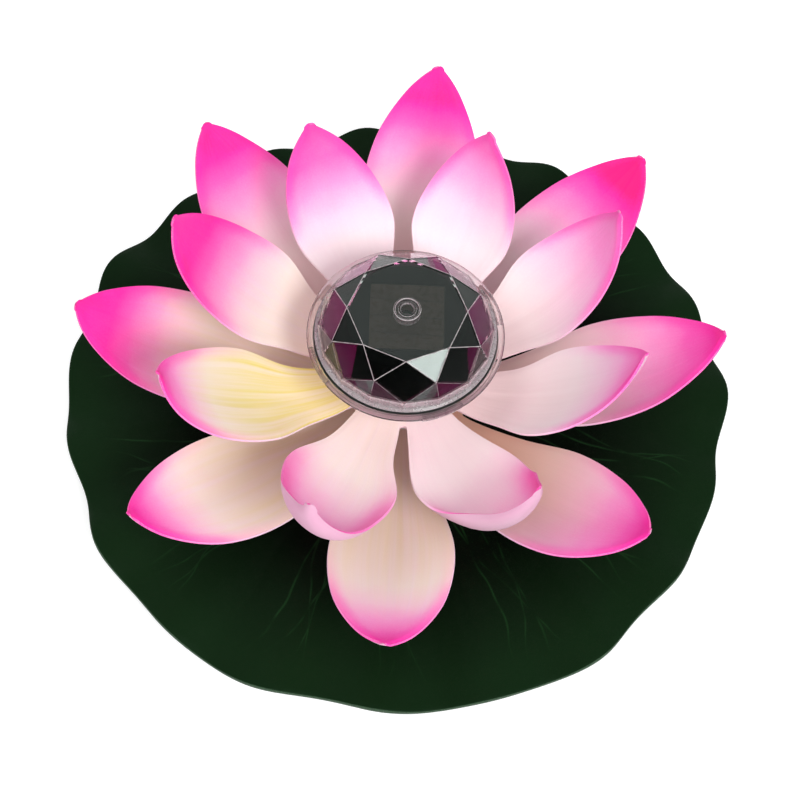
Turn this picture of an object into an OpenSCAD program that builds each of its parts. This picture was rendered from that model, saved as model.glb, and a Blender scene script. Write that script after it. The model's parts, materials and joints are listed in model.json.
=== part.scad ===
// Floating pool light: a solar lamp under a faceted clear lens, two layers of foam petals
// and a foam lily pad clamped on the lamp's neck, and a buoyant base with the battery cap,
// the power button and a folding mooring ring.
// Millimetres. +Z up along the lamp's axis, z = 0 on the flat foot of the base.

/* [Lily pad] */
// Diameter over the wavy edge
leaf_d = 280; // [220:5:340]
// Sheet thickness
leaf_t = 3; // [2:0.5:5]
// Height of the edge waves
leaf_wave = 2.6; // [0:0.1:5]
// How far the edge scallops reach in and out
leaf_scallop = 2.2; // [0:0.1:4]
// Number of edge scallops
leaf_lobes = 19; // [10:1:28]
// How far the pad's outline sits off the neck, to the left
leaf_shift_x = -2; // [-6:0.5:6]
// How far the pad's outline sits off the neck, towards the front
leaf_shift_y = -5.5; // [-8:0.5:6]

/* [Petals] */
// Sheet thickness of both layers
petal_t = 2; // [1.5:0.1:3]
// Radius where the petals leave the clamped ring
petal_root_r = 28; // [25:0.5:29]
// Level of the inner layer above the outer one
layer_gap = 17.3; // [12:0.1:24]
// Flat run of an outer petal before it bends up
outer_run = 46; // [30:0.5:60]
// Length of an outer petal's upturned end
outer_upturn = 15; // [8:1:30]
// Slope of an outer petal's tip
outer_tip_slope = 64; // [30:1:90]
// Flat run of an inner petal before it bends up
inner_run = 32; // [20:0.5:45]
// Length of an inner petal's upturned end
inner_upturn = 26; // [12:1:36]
// Slope of an inner petal's tip
inner_tip_slope = 84; // [45:1:100]
// Turn of the inner layer past the gaps of the outer one
inner_turn = 2.8; // [0:0.1:8]

/* [Lens] */
// Diameter of the clear rim
rim_d = 81; // [79:0.2:86]
// Diameter over the girdle, where the facets start
girdle_d = 72.2; // [68:0.2:74]
// Diameter over the star points
star_d = 64.4; // [60:0.2:66]
// Diameter over the corners of the flat table
table_d = 48.4; // [44:0.2:50]
// Height of the table above the star points
star_drop = 6.3; // [5:0.1:7]
// Wall of the lens
lens_wall = 1.4; // [1.2:0.1:1.8]
// Outside diameter of the light-pipe ring on the table
pipe_d = 11.2; // [10:0.2:14]
// Turn of the facets and the solar cell about the lamp's axis
lens_turn = 2; // [0:0.5:20]

/* [Solar cell] */
// Side of the square cell
solar_w = 30; // [28:0.2:32]
// Thickness of the cell
solar_t = 0.7; // [0.5:0.1:1]

/* [Battery] */
// Diameter of the rechargeable cell
battery_d = 10.5; // [10.5:0.1:10.5]
// Length of the rechargeable cell
battery_len = 44.5; // [44.5:0.1:44.5]

/* [Base] */
// Diameter of the base
base_d = 88; // [80:1:100]
// Width of the flat foot
foot_w = 3; // [2:0.5:5]
// Press of the power button
button_travel = 1.2; // [0.8:0.1:1.2]
// Lift of the battery cap over its thread
cap_lift = 6; // [4:0.5:8]
// Diameter of the mooring ring's bar
ring_bar_d = 3; // [2:0.2:4]

/* [Hidden] */

round_fn = 64;          // facets asked for on a true round
fit = 0.06;             // running clearance on a radius
slack = 0.15;           // loose clearance between stacked pieces
over = 1;               // how far a cutter runs past the face it opens

// heights of the stack, from the foot up
base_h = 12.5;
base_top_t = 2;
base_wall = 2;
leaf_z = base_h + leaf_t / 2;
outer_z = base_h + leaf_t + petal_t / 2;
inner_z = outer_z + layer_gap;
bowl_z = inner_z + petal_t / 2;
bowl_h = 23.8;
bowl_top = bowl_z + bowl_h;

// lamp bowl and neck
neck_r = 12;
neck_bore = 10;
neck_z = 5.2;
bowl_foot_r = 23.5;
bowl_lip_r = 37.8;
bowl_lip_bore = 36.05;
bowl_wall = 2.2;
bowl_ledge_r = 30;
bowl_ledge_z = bowl_top - 3.1;
wire_gate = 3.4;        // notch in the neck for the switch wires

// lens
rim_r = rim_d / 2;
girdle_r = girdle_d / 2;
star_r = star_d / 2;
table_r = table_d / 2;
rim_z = bowl_top + 0.9;
rim_t = 3.6;
table_z = 80.1;
star_z = table_z - star_drop;
crown_slope = star_drop / (star_r * cos(22.5) - table_r);
girdle_z = table_z - crown_slope * (girdle_r - table_r);
skirt_r = 35.9;
skirt_bore = 34.4;
skirt_z = bowl_ledge_z + 0.4;
tab_angle = 26;
tab_first = 13;
tab_count = 4;
tab_drop = 2.6;
pipe_h = 0.6;
pipe_wall = 0.9;
pipe_drop = 2.4;        // the ring runs on below the table as a tube
pipe_well_r = 2.6;
pipe_well = 0.5;
pipe_post_r = 3.7;
pipe_post = 1.4;

// panel carrier
carrier_top = 74;
carrier_wall = 1.6;
carrier_top_r = 24.2;
carrier_mid_r = 32.4;
carrier_mid_z = 67.6;
carrier_low_r = 33.5;
carrier_low_z = 65.6;
carrier_foot_r = 34.1;
carrier_foot_t = 1.4;
carrier_plate_t = 2.5;
solar_recess = 0.9;
led_hole_r = 3.2;

// circuit board
board_r = 19;
board_t = 1.6;
board_z = 60;
board_top = board_z + board_t;
post_r = 2.4;
post_ring = 16;
post_count = 3;
screw_r = 1;
screw_head_r = 2.1;
screw_head_t = 1.4;
drive_l = 2.8;           // cross recess of the screws
drive_w = 0.6;
drive_t = 1.2;
lead_gap = 1.27;
led_r = 2.5;
led_z = 66.5;
led_h = 8;
solar_wire_x = 10;
wire_r = 0.6;
thin_wire_r = 0.45;
neg_wire_x = 8.1;
switch_wire_x = -9.35;
switch_wire_y = 1.1;
switch_wire_z = 5.8;

// battery
battery_r = battery_d / 2;
battery_z = 6;
battery_top = battery_z + battery_len;
nub_r = 2.7;
nub_h = 1;
holder_bore = battery_r + 0.1;
holder_r = 6.6;
contact_t = 0.4;
contact_ring_r = 8.8;
holder_top = battery_top + contact_t + 1;
holder_flange_r = 16;
holder_flange_t = 1.5;
bowl_floor_z = bowl_z + bowl_wall;

// base
base_r = base_d / 2;
ledge_r = 38.5;
ledge_z = 4.3;
seal_t = 0.8;
cover_t = 2;
cover_z = ledge_z - seal_t - cover_t;
cover_top = cover_z + cover_t;
cover_r = base_r - foot_w - slack;
boss_ring = 34.5;
boss_r = 3.2;
boss_count = 4;
cover_screw_r = 1.4;
cover_screw_len = 6;     // thread above the cover
cover_head_t = 1.2;
nut_z = 6.4;
nut_top = base_h - base_top_t;
nut_r = 19;
foam_in = 21;
foam_out = 29;
foam_z = 4.6;
foam_notch = 16;
cap_plug_r = 11.6;
cap_flange_r = 15;
cap_z = 0.4;
cap_top = 4.8;
cap_floor = 2;
cap_plug_bore = 9.6;
collar_r = 14;
collar_top = 5;
gasket_r = 14.2;
gasket_in = 12.2;
gasket_h = 0.6;
cup_r = 7.4;
cup_wall = 0.4;
spring_r = 3.6;
spring_wire = 0.45;
spring_turns = 3;
button_x = -26;
button_r = 4;
button_flange_r = 5.2;
button_z = 0.6;
plunger_r = 1.6;
plunger_top = 7.5;
switch_w = 6;
switch_board_t = 1.2;
switch_board_w = 11;
switch_board_x = button_x + 1;
switch_drop_x = -20.2;  // the wires come down outside the button's flange
switch_z = 7.2;
switch_h = 2;
ring_r = 8;
ring_neck = 3.2;         // the ring's bar stands this far off the pin's axis, past the ears
ring_neck_w = 5;
pin_x = -(base_r + 3.5);
pin_z = 7;
pin_r = 1.2;
hub_r = 2.6;
hub_half = 3.4;
ear_t = 2;
ear_r = 3;

// petal outlines: half width at equal steps from root to tip, and the half angle the
// sheet is cupped through at equal steps
petal_count = 8;
tip_half = 0.4;
outer_widths = [9.9, 18.3, 25.7, 23.2, 13.2, tip_half];
outer_cup = [0, 26, 14, 2];
inner_widths = [9.9, 14.9, 22.6, 21.1, 13.6, tip_half];
inner_cup = [0, 29, 15, -16];
petal_rows = 14;
petal_cols = 6;
leaf_steps = 114;
leaf_rings = [neck_r + slack, 45, 78, 98, 112, 124, 133, 140];
leaf_flat_r = 70;

// how each petal is set by hand, in order round from +X: radius and height of the tip
// above the pad, sideways turn and twist of the tip in degrees
outer_set = [[129, 57, 1.5, -10], [133, 53, -1.5, -6], [134, 53, -3, -2], [134, 50, -1.5, 4],
             [134, 54, 0, -24], [135, 46, -4, 0], [136, 49, 0, 4], [129, 48, 5, 3]];
inner_set = [[96, 75, 4, -15], [90, 72, 0, -25], [95, 73, 3.5, 5], [96, 91, 8, -9],
             [104, 87, 2.5, -11], [99, 77, 1, -19], [96, 74, 8, 1], [96, 86, 4, -11]];

// layer: [root level, flat run, upturn, tip slope, half widths, cups, first direction, sets]
outer_layer = [outer_z, outer_run, outer_upturn, outer_tip_slope,
               outer_widths, outer_cup, 0, outer_set];
inner_layer = [inner_z, inner_run, inner_upturn, inner_tip_slope,
               inner_widths, inner_cup, 22.5 + inner_turn, inner_set];

// ---------------------------------------------------------------- curves

// smooth curve through equally spaced values v, at t from 0 to 1
function smooth(v, t) =
    let (n = len(v) - 1,
         x = min(t, 0.99999) * n,
         i = floor(x),
         f = x - i,
         b = v[i],
         c = v[i + 1],
         a = i > 0 ? v[i - 1] : 2 * v[0] - v[1],
         d = i + 2 <= n ? v[i + 2] : 2 * v[n] - v[n - 1])
    b + 0.5 * f * (c - a + f * (2 * a - 5 * b + 4 * c - d + f * (3 * (b - c) + d - a)));

function bezier(p, t) =
    pow(1 - t, 3) * p[0] + 3 * pow(1 - t, 2) * t * p[1]
    + 3 * (1 - t) * t * t * p[2] + pow(t, 3) * p[3];

function bezier_way(p, t) =
    pow(1 - t, 2) * (p[1] - p[0]) + 2 * (1 - t) * t * (p[2] - p[1]) + t * t * (p[3] - p[2]);

// side view of a petal's middle line, as [radius, height] control points
function petal_line(layer, set) =
    let (root = [petal_root_r, layer[0]],
         tip = [set[0], leaf_z + set[1]])
    [root, root + [layer[1], 0],
     tip - layer[2] * [cos(layer[3]), sin(layer[3])], tip];

// point of petal k at t along it, u across it (-1 to 1), h above the middle of the sheet
function petal_point(layer, k, t, u, h) =
    let (set = layer[7][k],
         line = petal_line(layer, set),
         at = bezier(line, t),
         way = bezier_way(line, t),
         along = way / norm(way),
         half = smooth(layer[4], t),
         cup = smooth(layer[5], t),
         curve = abs(cup) < 0.1 ? 0.1 : cup,
         radius = half / (curve * PI / 180),
         side0 = t > 0 ? (radius - h) * sin(curve * u) : half * u,
         lift0 = t > 0 ? radius - (radius - h) * cos(curve * u) : h,
         twist = set[3] * t * t,
         side = side0 * cos(twist) - lift0 * sin(twist),
         lift = side0 * sin(twist) + lift0 * cos(twist),
         az = layer[6] + 45 * k + set[2] * t,
         r = at[0] - along[1] * lift,
         z = at[1] + along[0] * lift)
    [r * cos(az) - side * sin(az), r * sin(az) + side * cos(az), z];

// row 0 is the clamped ring's bore, row 1 the root of the petal, the last row its tip
function layer_point(layer, k, row, col, h) =
    let (u = 2 * col / petal_cols - 1,
         p = petal_point(layer, k, max(row - 1, 0) / petal_rows, u, h),
         bore = neck_r + slack)
    row > 0 ? p : [bore * p[0] / norm([p[0], p[1]]), bore * p[1] / norm([p[0], p[1]]), p[2]];

// ---------------------------------------------------------------- sheets

// one closed sheet: a ring with all its petals
module petal_layer(layer) {
    rows = petal_rows + 2;
    cols = petal_cols + 1;
    last = cols - 1;
    points = [for (k = [0 : petal_count - 1], row = [0 : rows - 1], col = [0 : cols - 1],
                   h = [petal_t / 2, -petal_t / 2]) layer_point(layer, k, row, col, h)];
    function id(k, row, col, low) = (((k % petal_count) * rows + row) * cols + col) * 2 + low;
    blades = [for (k = [0 : petal_count - 1], row = [0 : rows - 2], col = [0 : cols - 2],
                   low = [0, 1])
        low == 0
        ? [id(k, row, col, 0), id(k, row, col + 1, 0), id(k, row + 1, col + 1, 0), id(k, row + 1, col, 0)]
        : [id(k, row, col, 1), id(k, row + 1, col, 1), id(k, row + 1, col + 1, 1), id(k, row, col + 1, 1)]];
    webs = [for (k = [0 : petal_count - 1], low = [0, 1])
        low == 0
        ? [id(k, 0, last, 0), id(k + 1, 0, 0, 0), id(k + 1, 1, 0, 0), id(k, 1, last, 0)]
        : [id(k, 0, last, 1), id(k, 1, last, 1), id(k + 1, 1, 0, 1), id(k + 1, 0, 0, 1)]];
    bore = [for (k = [0 : petal_count - 1], col = [0 : last])
        let (next = col < last ? [k, col + 1] : [k + 1, 0])
        [id(k, 0, col, 0), id(k, 0, col, 1), id(next[0], 0, next[1], 1), id(next[0], 0, next[1], 0)]];
    slots = [for (k = [0 : petal_count - 1])
        [id(k, 1, last, 0), id(k + 1, 1, 0, 0), id(k + 1, 1, 0, 1), id(k, 1, last, 1)]];
    edges = [for (k = [0 : petal_count - 1], row = [1 : rows - 2], far = [0, 1])
        far == 1
        ? [id(k, row, last, 0), id(k, row, last, 1), id(k, row + 1, last, 1), id(k, row + 1, last, 0)]
        : [id(k, row, 0, 0), id(k, row + 1, 0, 0), id(k, row + 1, 0, 1), id(k, row, 0, 1)]];
    tips = [for (k = [0 : petal_count - 1], col = [0 : cols - 2])
        [id(k, rows - 1, col, 0), id(k, rows - 1, col + 1, 0),
         id(k, rows - 1, col + 1, 1), id(k, rows - 1, col, 1)]];
    polyhedron(points, concat(blades, webs, bore, slots, edges, tips));
}

// wave of the pad: nothing in the middle, most at the edge
function leaf_lift(r, a) =
    let (x = max(0, (r - leaf_flat_r) / (leaf_d / 2 - leaf_flat_r)))
    leaf_wave * x * x * (sin(leaf_lobes * a) + 0.6 * sin(7 * a + 40));

// scallops of the edge, with slower waves under them so that no two are alike
function leaf_reach(r, a) =
    r + pow(r / (leaf_d / 2), 6) * leaf_scallop
    * (0.5 * sin(leaf_lobes * a - 3) + 0.5 * sin(12 * a + 24) + 0.4 * sin(5 * a - 14));

module leaf_sheet() {
    rings = len(leaf_rings);
    points = [for (i = [0 : leaf_steps - 1], ring = [0 : rings - 1],
                   h = [leaf_t / 2, -leaf_t / 2])
        let (a = 360 * i / leaf_steps,
             scale_r = ring == 0 ? leaf_rings[0] : leaf_rings[ring] * leaf_d / 280,
             r = ring == 0 ? scale_r : leaf_reach(scale_r, a),
             off = ring == 0 ? 0 : pow(scale_r / (leaf_d / 2), 2))
        [r * cos(a) + off * leaf_shift_x, r * sin(a) + off * leaf_shift_y,
         leaf_z + leaf_lift(scale_r, a) + h]];
    function id(i, ring, low) = ((i % leaf_steps) * rings + ring) * 2 + low;
    tops = [for (i = [0 : leaf_steps - 1], ring = [0 : rings - 2])
        [id(i, ring, 0), id(i + 1, ring, 0), id(i + 1, ring + 1, 0), id(i, ring + 1, 0)]];
    bottoms = [for (i = [0 : leaf_steps - 1], ring = [0 : rings - 2])
        [id(i, ring, 1), id(i, ring + 1, 1), id(i + 1, ring + 1, 1), id(i + 1, ring, 1)]];
    walls = [for (i = [0 : leaf_steps - 1], rim = [0, 1])
        rim == 1
        ? [id(i, rings - 1, 0), id(i + 1, rings - 1, 0), id(i + 1, rings - 1, 1), id(i, rings - 1, 1)]
        : [id(i, 0, 0), id(i, 0, 1), id(i + 1, 0, 1), id(i + 1, 0, 0)]];
    polyhedron(points, concat(tops, bottoms, walls));
}

module lily_pad() {
    color([0.05, 0.16, 0.08]) leaf_sheet();
}

module outer_petals() {
    color([0.95, 0.45, 0.70]) petal_layer(outer_layer);
}

module inner_petals() {
    color([0.97, 0.62, 0.78]) petal_layer(inner_layer);
}

// ---------------------------------------------------------------- helpers

module tube(r_out, r_in, z, top) {
    translate([0, 0, z])
        difference() {
            cylinder(r = r_out, h = top - z, $fn = round_fn);
            translate([0, 0, -over]) cylinder(r = r_in, h = top - z + 2 * over, $fn = round_fn);
        }
}

module rod(r, z, top, x = 0, y = 0) {
    translate([x, y, z]) cylinder(r = r, h = top - z, $fn = round_fn);
}

module on_ring(count, radius, first = 0) {
    for (i = [0 : count - 1])
        rotate([0, 0, first + 360 * i / count]) translate([radius, 0, 0]) children();
}

// brilliant-cut block: table, star points, then a sixteen-sided girdle wall down to low_z
module crown(t_r, t_z, s_r, s_z, g_r, low_z) {
    slope = (t_z - s_z) / (s_r * cos(22.5) - t_r);
    g_z = t_z - slope * (g_r - t_r);
    points = concat(
        [for (k = [0 : 7]) [t_r * cos(45 * k), t_r * sin(45 * k), t_z]],
        [for (k = [0 : 7]) [s_r * cos(45 * k + 22.5), s_r * sin(45 * k + 22.5), s_z]],
        [for (k = [0 : 15]) [g_r * cos(22.5 * k), g_r * sin(22.5 * k), g_z]],
        [for (k = [0 : 15]) [g_r * cos(22.5 * k), g_r * sin(22.5 * k), low_z]]);
    table = [[7, 6, 5, 4, 3, 2, 1, 0]];
    stars = [for (k = [0 : 7]) [k, (k + 1) % 8, 8 + k]];
    kites = [for (k = [0 : 7], side = [0, 1])
        side == 0 ? [k, 8 + k, 16 + 2 * k] : [k, 16 + 2 * k, 8 + (k + 7) % 8]];
    breaks = [for (k = [0 : 7], side = [0, 1])
        [8 + k, 16 + (2 * k + side + 1) % 16, 16 + 2 * k + side]];
    wall = [for (k = [0 : 15])
        [16 + k, 16 + (k + 1) % 16, 32 + (k + 1) % 16, 32 + k]];
    floor_face = [[for (k = [0 : 15]) 32 + k]];
    polyhedron(points, concat(table, stars, kites, breaks, wall, floor_face));
}

// ---------------------------------------------------------------- lamp head

module lens_body() {
    rotate([0, 0, lens_turn]) crown(table_r, table_z, star_r, star_z, girdle_r, rim_z + over);
    tube(skirt_r, skirt_bore, skirt_z, rim_z + rim_t / 2);
    rotate_extrude($fn = round_fn)
        polygon([[skirt_bore, rim_z], [rim_r - 1.1, rim_z], [rim_r, rim_z + 0.9],
                 [rim_r, rim_z + rim_t - 1.4], [rim_r - 1, rim_z + rim_t - 0.4],
                 [girdle_r + 0.6, rim_z + rim_t + 0.5], [skirt_bore, rim_z + rim_t + 0.5]]);
}

// the facets of the hollow run parallel to the outer ones
module lens_hollow() {
    rotate([0, 0, lens_turn])
        crown(table_r - 0.48 * lens_wall, table_z - lens_wall,
              star_r - 0.85 * lens_wall, star_z - 0.62 * lens_wall, skirt_bore, skirt_z - over);
}

// snap tab that reaches down outside the bowl's lip
module tab_section() {
    inner = bowl_lip_r + 0.2;
    outer = rim_r - 1.4;
    polygon([[inner, rim_z - tab_drop], [outer, rim_z - tab_drop],
             [outer, rim_z + 0.5], [inner, rim_z + 0.5]]);
}

module lens_cover() {
    color([0.90, 0.92, 0.95, 0.35]) {
        difference() {
            lens_body();
            lens_hollow();
            rod(pipe_well_r, table_z - pipe_well, table_z + over);
        }
        tube(pipe_d / 2, pipe_d / 2 - pipe_wall, table_z - lens_wall - pipe_drop, table_z + pipe_h);
        rod(pipe_post_r, table_z - lens_wall - pipe_post, table_z - pipe_well - 0.2);
        for (i = [0 : tab_count - 1])
            rotate([0, 0, 360 * i / tab_count + tab_first])
                rotate_extrude(angle = tab_angle, $fn = round_fn) tab_section();
    }
}

module lens_seal() {
    color([0.15, 0.15, 0.16])
        tube(bowl_lip_r - 0.2, skirt_r + 0.1, bowl_top, rim_z);
}

module carrier_section() {
    w = carrier_wall;
    polygon([[0, carrier_top], [carrier_top_r, carrier_top], [carrier_mid_r, carrier_mid_z],
             [carrier_low_r, carrier_low_z], [carrier_low_r, bowl_ledge_z + carrier_foot_t],
             [carrier_foot_r, bowl_ledge_z + carrier_foot_t], [carrier_foot_r, bowl_ledge_z],
             [carrier_low_r - w, bowl_ledge_z], [carrier_low_r - w, carrier_low_z - 0.6],
             [carrier_mid_r - w, carrier_mid_z - w], [carrier_top_r - w, carrier_top - carrier_plate_t],
             [0, carrier_top - carrier_plate_t]]);
}

module panel_carrier() {
    color([0.07, 0.08, 0.09])
        difference() {
            union() {
                rotate_extrude($fn = round_fn) carrier_section();
                on_ring(post_count, post_ring, 30)
                    rod(post_r, board_top, carrier_top - carrier_plate_t + 0.5);
            }
            translate([0, 0, carrier_top]) rotate([0, 0, lens_turn])
                cube([solar_w + 0.4, solar_w + 0.4, 2 * solar_recess], center = true);
            rod(led_hole_r + 0.4, carrier_top - carrier_plate_t - over, carrier_top + over);
            for (side = [-1, 1])
                rod(wire_r + 0.3, carrier_top - carrier_plate_t - over, carrier_top,
                    side * solar_wire_x);
            on_ring(post_count, post_ring, 30)
                rod(screw_r + 0.05, board_top - over, board_top + 6);
        }
}

module carrier_screws() {
    color([0.62, 0.63, 0.65])
        on_ring(post_count, post_ring, 30)
            union() {
                rod(screw_r, board_z - 0.5, board_top + 5);
                difference() {
                    rod(screw_head_r, board_z - screw_head_t, board_z);
                    translate([0, 0, board_z - screw_head_t])
                        for (turn = [0, 90])
                            rotate([0, 0, turn]) cube([drive_l, drive_w, drive_t], center = true);
                }
            }
}

module solar_cell() {
    floor_z = carrier_top - solar_recess;
    color([0.16, 0.14, 0.13])
        difference() {
            rotate([0, 0, lens_turn])
                translate([-solar_w / 2, -solar_w / 2, floor_z]) cube([solar_w, solar_w, solar_t]);
            rod(led_hole_r, floor_z - over, floor_z + solar_t + over);
        }
}

module led() {
    dome_z = led_z + led_h - led_r;
    color([0.85, 0.88, 0.90, 0.6]) {
        rod(led_r + 0.4, led_z, led_z + 1);
        rod(led_r, led_z + 0.5, dome_z);
        rotate_extrude($fn = round_fn)
            intersection() {
                translate([0, dome_z - 0.01]) circle(r = led_r, $fn = round_fn);
                translate([0, dome_z - 0.5]) square([led_r + over, led_r + over]);
            }
    }
}

module led_leads() {
    color([0.75, 0.75, 0.76])
        for (side = [-1, 1]) rod(0.3, board_z + 0.2, led_z, side * lead_gap);
}

module circuit_board() {
    color([0.05, 0.35, 0.20])
        difference() {
            rod(board_r, board_z, board_top);
            on_ring(post_count, post_ring, 30) rod(screw_r + 0.1, board_z - over, board_top + over);
            for (side = [-1, 1]) rod(0.35, board_z - over, board_top + over, side * lead_gap);
        }
}

module driver_chip() {
    body_w = 5;
    body_d = 4;
    body_t = 1.4;
    leg = [0.5, 0.8, 0.4];
    pitch = 1.2;
    color([0.10, 0.10, 0.11])
        translate([6, -9, board_top]) {
            cube([body_w, body_d, body_t]);
            for (i = [0 : 3], side = [0, 1])
                translate([0.4 + pitch * i, side * (body_d + leg[1]) - leg[1], 0]) cube(leg);
        }
}

module inductor() {
    flange_r = 3;
    flange_t = 1;
    core_r = 2.2;
    height = 5;
    color([0.20, 0.18, 0.16])
        translate([-9, -7, 0]) {
            rod(flange_r, board_top, board_top + flange_t);
            rod(core_r, board_top + flange_t, board_top + height - flange_t);
            rod(flange_r, board_top + height - flange_t, board_top + height);
        }
}

module capacitor() {
    can_r = 2.5;
    can_h = 6.5;
    color([0.15, 0.20, 0.45])
        translate([-6, 8, 0]) rod(can_r, board_top, board_top + can_h);
}

module solar_wire_pos() {
    color([0.80, 0.10, 0.08])
        rod(wire_r, board_top, carrier_top - solar_recess, solar_wire_x);
}

module solar_wire_neg() {
    color([0.08, 0.08, 0.09])
        rod(wire_r, board_top, carrier_top - solar_recess, -solar_wire_x);
}

module battery_wire_pos() {
    color([0.80, 0.10, 0.08])
        rod(wire_r, battery_top + contact_t, board_z);
}

module battery_wire_neg() {
    color([0.08, 0.08, 0.09])
        rod(wire_r, battery_z + contact_t, board_z, neg_wire_x);
}

module switch_wires() {
    color([0.85, 0.80, 0.20])
        for (side = [-1, 1])
            translate([0, side * switch_wire_y, 0]) {
                rod(thin_wire_r, switch_wire_z, board_z, switch_wire_x);
                translate([switch_drop_x, 0, switch_wire_z])
                    rotate([0, 90, 0])
                        cylinder(r = thin_wire_r, h = switch_wire_x - switch_drop_x,
                                 $fn = round_fn);
                rod(thin_wire_r, switch_wire_z, nut_top - switch_board_t, switch_drop_x);
            }
}

// ---------------------------------------------------------------- lamp bowl and battery

module lamp_bowl() {
    w = bowl_wall;
    color([0.93, 0.94, 0.95, 0.8])
        difference() {
            rotate_extrude($fn = round_fn)
                polygon([[neck_bore, neck_z], [neck_r, neck_z], [neck_r, bowl_z],
                         [bowl_foot_r, bowl_z], [bowl_lip_r, bowl_top - 1.4], [bowl_lip_r, bowl_top],
                         [bowl_lip_bore, bowl_top], [bowl_lip_bore, bowl_ledge_z],
                         [bowl_ledge_r, bowl_ledge_z], [bowl_ledge_r, bowl_ledge_z - 1.6],
                         [bowl_foot_r - w, bowl_floor_z], [neck_bore, bowl_floor_z]]);
            translate([-neck_r - over, -wire_gate / 2, neck_z - over])
                cube([neck_r - neck_bore + 2 * over, wire_gate, nut_z - neck_z + over]);
        }
}

module battery_holder() {
    color([0.90, 0.90, 0.88])
        difference() {
            union() {
                rod(holder_r, nut_z, holder_top);
                rod(holder_flange_r, bowl_floor_z, bowl_floor_z + holder_flange_t);
            }
            rod(holder_bore, nut_z - over, battery_top + contact_t);
            rod(wire_r + 0.2, battery_top, holder_top + over);
            rod(wire_r + 0.3, bowl_floor_z - over, bowl_floor_z + 2 * over + 1, neg_wire_x);
            for (side = [-1, 1])
                rod(thin_wire_r + 0.3, bowl_floor_z - over, bowl_floor_z + 2 * over + 1,
                    switch_wire_x, side * switch_wire_y);
        }
}

module battery_cell() {
    color([0.15, 0.45, 0.25]) {
        rod(battery_r, battery_z, battery_top - nub_h);
        rod(nub_r, battery_top - nub_h, battery_top);
    }
}

module battery_contact() {
    color([0.80, 0.72, 0.45])
        rod(battery_r - 0.5, battery_top, battery_top + contact_t);
}

module contact_ring() {
    color([0.80, 0.72, 0.45])
        tube(contact_ring_r, holder_r + 0.2, battery_z, battery_z + contact_t);
}

// ---------------------------------------------------------------- clamped stack and base

module petal_spacer() {
    spacer_r = 21;
    rib = 3;
    color([0.92, 0.93, 0.92])
        difference() {
            rod(spacer_r, outer_z + petal_t / 2, inner_z - petal_t / 2);
            rod(neck_r + slack, outer_z, inner_z);
            tube(spacer_r - 2, neck_r + 2.2, outer_z + petal_t / 2 + rib, inner_z);
        }
}

module clamp_nut() {
    color([0.90, 0.90, 0.90])
        difference() {
            translate([0, 0, nut_z]) cylinder(r = nut_r, h = nut_top - nut_z, $fn = 6);
            rod(neck_r + fit, nut_z - over, nut_top + over);
        }
}

module base_shell() {
    color([0.90, 0.91, 0.92])
        difference() {
            union() {
                rotate_extrude($fn = round_fn)
                    polygon([[neck_r + slack, nut_top], [base_r - base_wall - 2, nut_top],
                             [ledge_r + 1.6, ledge_z + 2], [ledge_r, ledge_z],
                             [base_r - foot_w, ledge_z], [base_r - foot_w, 0], [base_r, 0],
                             [base_r, base_h - 1], [base_r - 1, base_h], [neck_r + slack, base_h]]);
                on_ring(boss_count, boss_ring, 45) rod(boss_r, cover_top + slack, nut_top + 0.5);
                for (side = [-1, 1])
                    translate([0, side * (hub_half + 0.1 + ear_t / 2), 0]) ear();
            }
            on_ring(boss_count, boss_ring, 45)
                rod(cover_screw_r + 0.05, cover_top - over, cover_top + cover_screw_len + 0.2);
            translate([pin_x, 0, pin_z]) rotate([90, 0, 0])
                cylinder(r = pin_r + 0.02, h = 4 * hub_half, center = true, $fn = round_fn);
        }
}

module ear() {
    translate([pin_x, ear_t / 2, pin_z]) rotate([90, 0, 0])
        linear_extrude(ear_t)
            union() {
                circle(r = ear_r, $fn = round_fn);
                translate([0, -ear_r]) square([-pin_x - base_r + 1, 2 * ear_r]);
            }
}

module float_ring() {
    color([0.97, 0.97, 0.96])
        difference() {
            tube(foam_out, foam_in, foam_z, nut_top - slack);
            translate([button_x, 0, foam_z]) cube([2 * foam_notch, foam_notch, 4 * base_h], center = true);
        }
}

module base_seal() {
    color([0.15, 0.15, 0.16])
        tube(base_r - foot_w - slack, ledge_r, cover_top, ledge_z);
}

module base_cover() {
    color([0.88, 0.89, 0.90])
        difference() {
            union() {
                rod(cover_r, cover_z, cover_top);
                rod(collar_r, cover_z, collar_top);
            }
            rod(cap_plug_r + fit, cover_z - over, collar_top + over);
            rod(button_r + fit, cover_z - over, cover_top + over, button_x);
            on_ring(boss_count, boss_ring, 45) {
                rod(cover_screw_r + 0.2, cover_z - over, cover_top + over);
                rod(screw_head_r + 0.6, cover_z - over, cover_z + cover_head_t);
            }
        }
}

module cover_screws() {
    color([0.62, 0.63, 0.65])
        on_ring(boss_count, boss_ring, 45)
            difference() {
                union() {
                    rod(cover_screw_r, cover_z + 1, cover_top + cover_screw_len);
                    rod(screw_head_r + 0.4, cover_z, cover_z + cover_head_t);
                }
                for (turn = [0, 90])
                    translate([0, 0, cover_z]) rotate([0, 0, turn])
                        cube([drive_l, drive_w, drive_t], center = true);
            }
}

module switch_board() {
    w = switch_board_w;
    color([0.05, 0.35, 0.20])
        translate([switch_board_x - w / 2, -w / 2, nut_top - switch_board_t])
            cube([w, w, switch_board_t - 0.05]);
}

module switch_body() {
    color([0.12, 0.12, 0.13])
        difference() {
            translate([button_x - switch_w / 2, -switch_w / 2, switch_z])
                cube([switch_w, switch_w, nut_top - switch_board_t - switch_z]);
            rod(plunger_r + fit, switch_z - over, switch_z + 1.7, button_x);
        }
}

module switch_plunger() {
    color([0.75, 0.20, 0.15])
        rod(plunger_r, cover_top + 0.9, plunger_top, button_x);
}

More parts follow.
